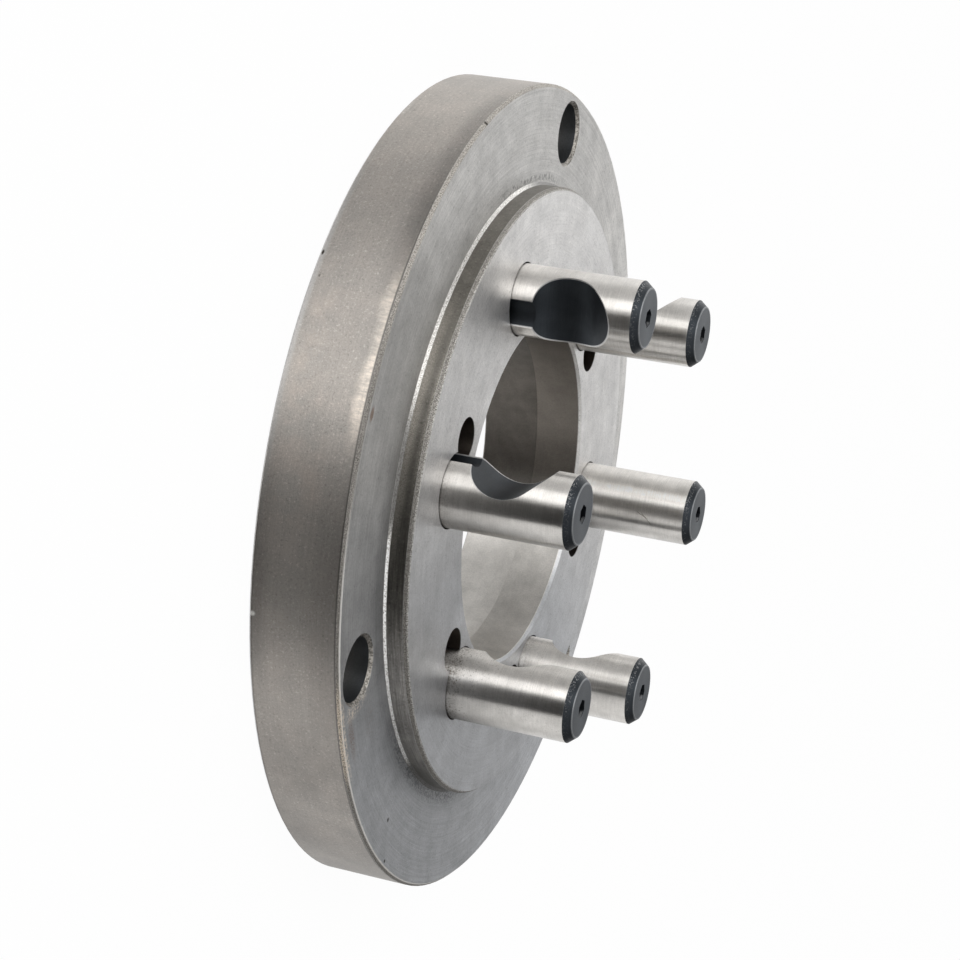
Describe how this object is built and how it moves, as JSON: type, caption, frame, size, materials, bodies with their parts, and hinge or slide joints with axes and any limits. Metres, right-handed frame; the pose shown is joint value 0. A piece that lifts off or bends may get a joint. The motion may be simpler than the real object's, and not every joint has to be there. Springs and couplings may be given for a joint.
{
  "type": "chuck backplate",
  "caption": "Round steel-grey lathe chuck backplate with a raised boss, taper bore and camlock studs.",
  "frame": {"origin": "centre of the flat chuck-side face, on the spindle axis", "axes": "+Z along the spindle axis toward the stud tips; +X through camlock_stud_1; the part lies on its chuck side"},
  "size_m": [0.25, 0.25, 0.0729],
  "materials": {
    "plate": "turned, satin, with fine concentric tool marks",
    "stud": "ground bright body, blackened tip, notch and socket"
  },
  "bodies": {
    "root": {"backplate": "plate", "camlock_stud_1": "stud", "camlock_stud_2": "stud", "camlock_stud_3": "stud", "camlock_stud_4": "stud", "camlock_stud_5": "stud", "camlock_stud_6": "stud"}
  },
  "joints": []
}
